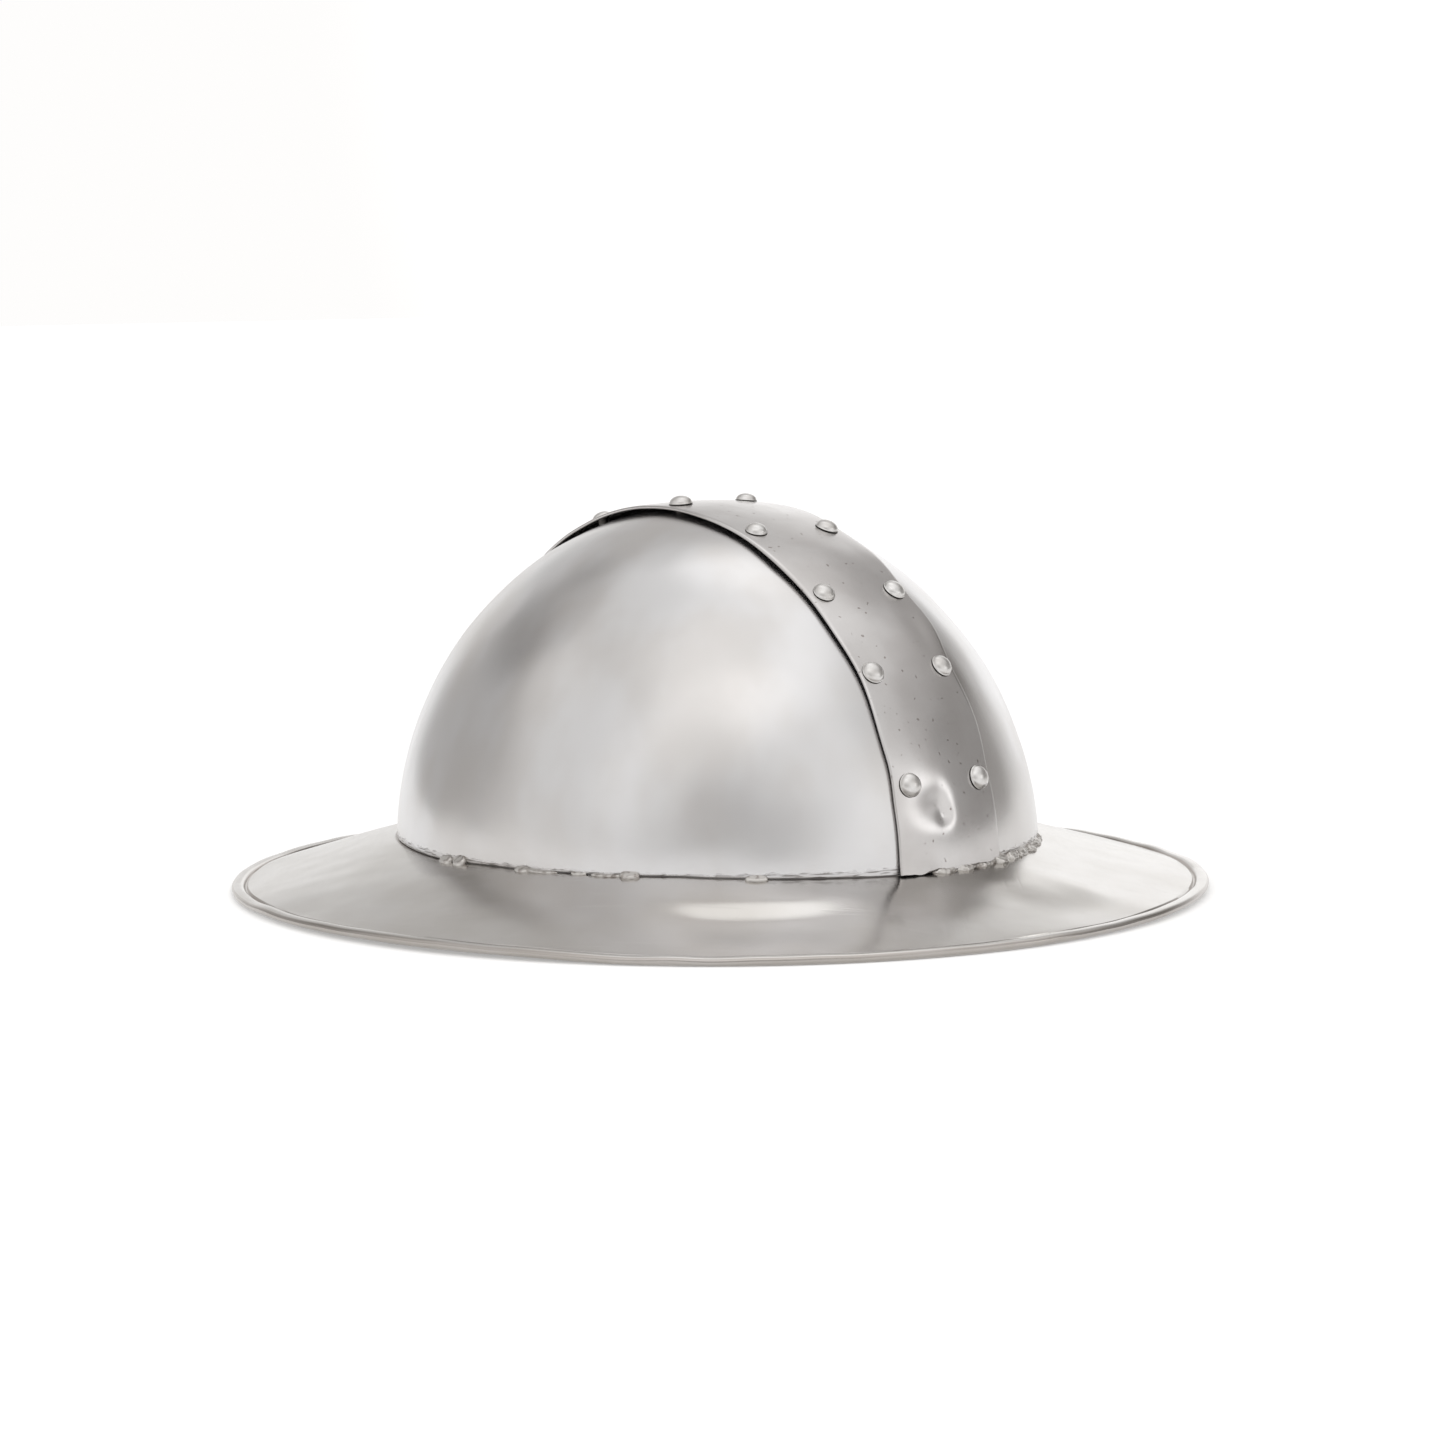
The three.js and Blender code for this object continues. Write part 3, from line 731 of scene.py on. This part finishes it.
def rivet_setting():
    """The node tree that sets a head and a tail on each seat. Its inputs carry the blanks and sizes."""
    tree = bpy.data.node_groups.new("rivet_setting", "GeometryNodeTree")
    inputs = (("Seats", "Geometry"), ("Head", "Object"), ("Tail", "Object"), ("Least size", "Float"),
              ("Greatest size", "Float"), ("Hammer marks", "Float"), ("Finish", "Material"))
    for name, kind in inputs:
        tree.interface.new_socket(name, in_out="INPUT", socket_type="NodeSocket" + kind)
    tree.interface.new_socket("Rivets", in_out="OUTPUT", socket_type="NodeSocketGeometry")
    given = tree.nodes.new("NodeGroupInput")

    def taken(name):
        return Value(tree, given.outputs[name])

    def vector(name):
        return node(tree, "GeometryNodeInputNamedAttribute", {"data_type": "FLOAT_VECTOR"}, {"Name": name})

    def blank(name):
        return node(tree, "GeometryNodeObjectInfo", {}, {"Object": taken(name)}, "Geometry")

    turn = node(tree, "FunctionNodeAlignRotationToVector", {"axis": "Z"}, {"Vector": vector("axis")})
    size = node(tree, "FunctionNodeRandomValue", {"data_type": "FLOAT"},
                {2: taken("Least size"), 3: taken("Greatest size"), "Seed": 7}, 1)
    heads = node(tree, "GeometryNodeInstanceOnPoints", {},
                 {"Points": taken("Seats"), "Instance": blank("Head"), "Rotation": turn, "Scale": size})
    moved = {"Geometry": taken("Seats"), "Offset": vector("inwards")}
    inside = node(tree, "GeometryNodeSetPosition", {}, moved)
    tails = node(tree, "GeometryNodeInstanceOnPoints", {},
                 {"Points": inside, "Instance": blank("Tail"), "Rotation": turn, "Scale": size})
    joined = tree.nodes.new("GeometryNodeJoinGeometry")
    for part in (heads, tails):
        tree.links.new(part.socket, joined.inputs[0])
    real = node(tree, "GeometryNodeRealizeInstances", {}, {"Geometry": Value(tree, joined.outputs[0])})
    uneven = node(tree, "ShaderNodeTexNoise", {}, {"Scale": hammer_scale, "Detail": 1.0})
    normal = node(tree, "GeometryNodeInputNormal", {}, {})
    amount = (uneven - 0.5) * taken("Hammer marks")
    shift = node(tree, "ShaderNodeVectorMath", {"operation": "SCALE"}, {0: normal, "Scale": amount})
    beaten = node(tree, "GeometryNodeSetPosition", {}, {"Geometry": real, "Offset": shift})
    coated = node(tree, "GeometryNodeSetMaterial", {}, {"Geometry": beaten, "Material": taken("Finish")})
    end = tree.nodes.new("NodeGroupOutput")
    tree.links.new(coated.socket, end.inputs[0])
    return tree


def rivet_finish():
    """Polished heads, a little worn on top, with painted shade round the flange."""
    material, tree, place = steel("rivet_steel")
    cloud = grain(tree, place, 4, detail=3.0)
    fine = grain(tree, place, 0.8, detail=3.0)
    painted_rim_shade = node(tree, "ShaderNodeAttribute", {"attribute_name": "painted_rim_shade"}, {}, "Fac")
    # Painted shade round each head's flange and on its shank.
    rim_shaded = tinted(tree, painted_rim_shade * 0.85, clean, rim_shade_black)
    colour = dirtied(tree, tinted(tree, cloud.over(0.3, 0.75), rivet_bright, rivet_dull), rim_shaded)
    roughness = rivet_roughness + cloud * 0.14 + fine * 0.06 + painted_rim_shade * 0.2
    finish_steel(tree, colour, roughness, fine, rivet_grain_depth)
    return material


def set_rivets():
    """All the rivets as one plain mesh."""
    seats = seat_points()
    head = rivet_head()
    tail = rivet_tail()
    tree = rivet_setting()
    setting = seats.modifiers.new("rivet_setting", "NODES")
    setting.node_group = tree
    values = {"Head": head, "Tail": tail, "Least size": least_size, "Greatest size": greatest_size,
              "Hammer marks": hammer_depth * MM, "Finish": rivet_finish()}
    for socket in tree.interface.items_tree:
        if socket.in_out == "INPUT" and socket.name in values:
            setting[socket.identifier] = values[socket.name]
    bpy.context.view_layer.update()
    plain = bpy.data.meshes.new_from_object(seats.evaluated_get(bpy.context.evaluated_depsgraph_get()))
    for carrier in (seats, head, tail):
        bpy.data.objects.remove(carrier)
    rivets = bpy.data.objects.new("rivets", plain)
    bpy.context.scene.collection.objects.link(rivets)
    return rivets


rivets = set_rivets()
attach(rivets, "root")
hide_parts(*[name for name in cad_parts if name.startswith("rivet_")])

# The studio: a plain pale floor in a pale room, which the polished steel mirrors. It is brighter overhead,
# low behind the hat and at a softbox on the right, and dimmer round the camera and in gaps to both sides.
# The camera stands where a fit to the photograph puts it.
photo_azimuth = math.radians(-40.19)
photo_elevation = math.radians(6.34)
photo_roll = math.radians(-1.04)
photo_distance = 1354.1
photo_focal = 94.04
aim_height = 40.07
aim_side = 3.01
sensor_width = 36
floor_reach = 60
floor_tone = 0.85
floor_glow = 0.28
softbox_azimuth = 6
softbox_elevation = 50
softbox_distance = 1.6
softbox_size = 0.6
softbox_power = 0.25
softbox_aim = 0.05
air_shade = (0.012, 0.006, 0)
air_light = (1, 0.997, 0.994)

floor_mesh = bpy.data.meshes.new("floor")
floor_corners = [(-1, -1), (1, -1), (1, 1), (-1, 1)]
floor_mesh.from_pydata([(x * floor_reach, y * floor_reach, 0) for x, y in floor_corners], [], [(0, 1, 2, 3)])
floor = bpy.data.objects.new("floor", floor_mesh)
bpy.context.scene.collection.objects.link(floor)
paper = bpy.data.materials.new("pale_floor")
paper.use_nodes = True
paper_shader = paper.node_tree.nodes["Principled BSDF"]
paper_shader.inputs["Base Color"].default_value = (floor_tone, floor_tone, floor_tone, 1)
paper_shader.inputs["Roughness"].default_value = 1
paper_shader.inputs["Specular IOR Level"].default_value = 0
paper_shader.inputs["Emission Color"].default_value = (1, 1, 1, 1)
paper_shader.inputs["Emission Strength"].default_value = floor_glow
floor.data.materials.append(paper)

back = Vector((math.sin(photo_azimuth) * math.cos(photo_elevation),
               -math.cos(photo_azimuth) * math.cos(photo_elevation), math.sin(photo_elevation)))
level_back = Vector((math.sin(photo_azimuth), -math.cos(photo_azimuth), 0))
level_right = Vector((math.cos(photo_azimuth), math.sin(photo_azimuth), 0))
level_up = back.cross(level_right)


def from_camera(azimuth, elevation):
    """A direction by its angle to the right of the camera's side of the hat and its height."""
    turned_by = math.radians(azimuth)
    raised = math.radians(elevation)
    level = level_back * math.cos(turned_by) + level_right * math.sin(turned_by)
    return level * math.cos(raised) + Vector((0, 0, math.sin(raised)))


# Each soft panel of light: the way to its middle, the angles where it is full and where it ends, and
# how much it adds to the room's light. Most are rounded from a fit to the photograph, then adjusted.
room_light = 0.98
room_lights = {
    "ceiling": (5, 60, 15, 45, 0.3),
    "zenith": (0, 85, 15, 45, 0.3),
    "zenith_back": (180, 70, 5, 18, 0.35),
    "camera_side": (0, 10, 10, 50, -0.35),
    "left_gap": (-120, 10, 10, 35, -0.45),
    "left_gap_top": (-130, 40, 5, 20, -0.4),
    "left_high": (-75, 75, 5, 35, -0.35),
    "left_wall": (-65, 15, 10, 40, -0.1),
    "front_left": (-40, 25, 5, 25, 0.2),
    "back_gap": (-170, 40, 10, 30, -0.35),
    "right_gap": (105, 10, 15, 40, -0.6),
    "right_gap_top": (140, 32, 8, 22, -0.5),
    "right_high": (45, 55, 10, 35, -0.25),
    "right_wall": (35, 15, 10, 35, 0.2),
    "right_softbox": (75, 15, 2, 10, 1.4),
    "back_wall": (165, 5, 15, 21, 0.25),
    "back_window": (168, 28, 5, 14, 0.2),
}
brightest = 2
world = bpy.data.worlds.new("studio")
world.use_nodes = True
bpy.context.scene.world = world
sky = world.node_tree
sky.nodes.clear()
direction = node(sky, "ShaderNodeTexCoord", {}, {}, "Object")
light = node(sky, "ShaderNodeValue", {}, {})
light.socket.default_value = room_light
for azimuth, elevation, full, end, tone in room_lights.values():
    sockets = {0: direction, 1: tuple(from_camera(azimuth, elevation))}
    facing = node(sky, "ShaderNodeVectorMath", {"operation": "DOT_PRODUCT"}, sockets, "Value")
    light = light + facing.over(math.cos(math.radians(end)), math.cos(math.radians(full))) * tone
air = tinted(sky, light / brightest, air_shade, air_light)
background = node(sky, "ShaderNodeBackground", {}, {"Color": air, "Strength": brightest})
sky_output = sky.nodes.new("ShaderNodeOutputWorld")
sky.links.new(background.socket, sky_output.inputs["Surface"])

lamp = bpy.data.lights.new("softbox", "AREA")
lamp.size = softbox_size
lamp.energy = softbox_power
softbox = bpy.data.objects.new("softbox", lamp)
away = from_camera(softbox_azimuth, softbox_elevation)
softbox.location = away * softbox_distance + Vector((0, 0, softbox_aim))
softbox.rotation_euler = away.to_track_quat("Z", "Y").to_euler()
bpy.context.scene.collection.objects.link(softbox)

right = level_right * math.cos(photo_roll) + level_up * math.sin(photo_roll)
up = level_up * math.cos(photo_roll) - level_right * math.sin(photo_roll)
aim = Vector((0, 0, (seam_level + aim_height) * MM)) + level_right * aim_side * MM
camera_lens = bpy.data.cameras.new("camera")
camera_lens.lens = photo_focal
camera_lens.sensor_width = sensor_width
camera = bpy.data.objects.new("camera", camera_lens)
turned_frame = Matrix((right, up, back)).transposed().to_4x4()
camera.matrix_world = Matrix.Translation(aim + back * photo_distance * MM) @ turned_frame
bpy.context.scene.collection.objects.link(camera)
bpy.context.scene.camera = camera
bpy.context.scene.view_settings.view_transform = "Standard"
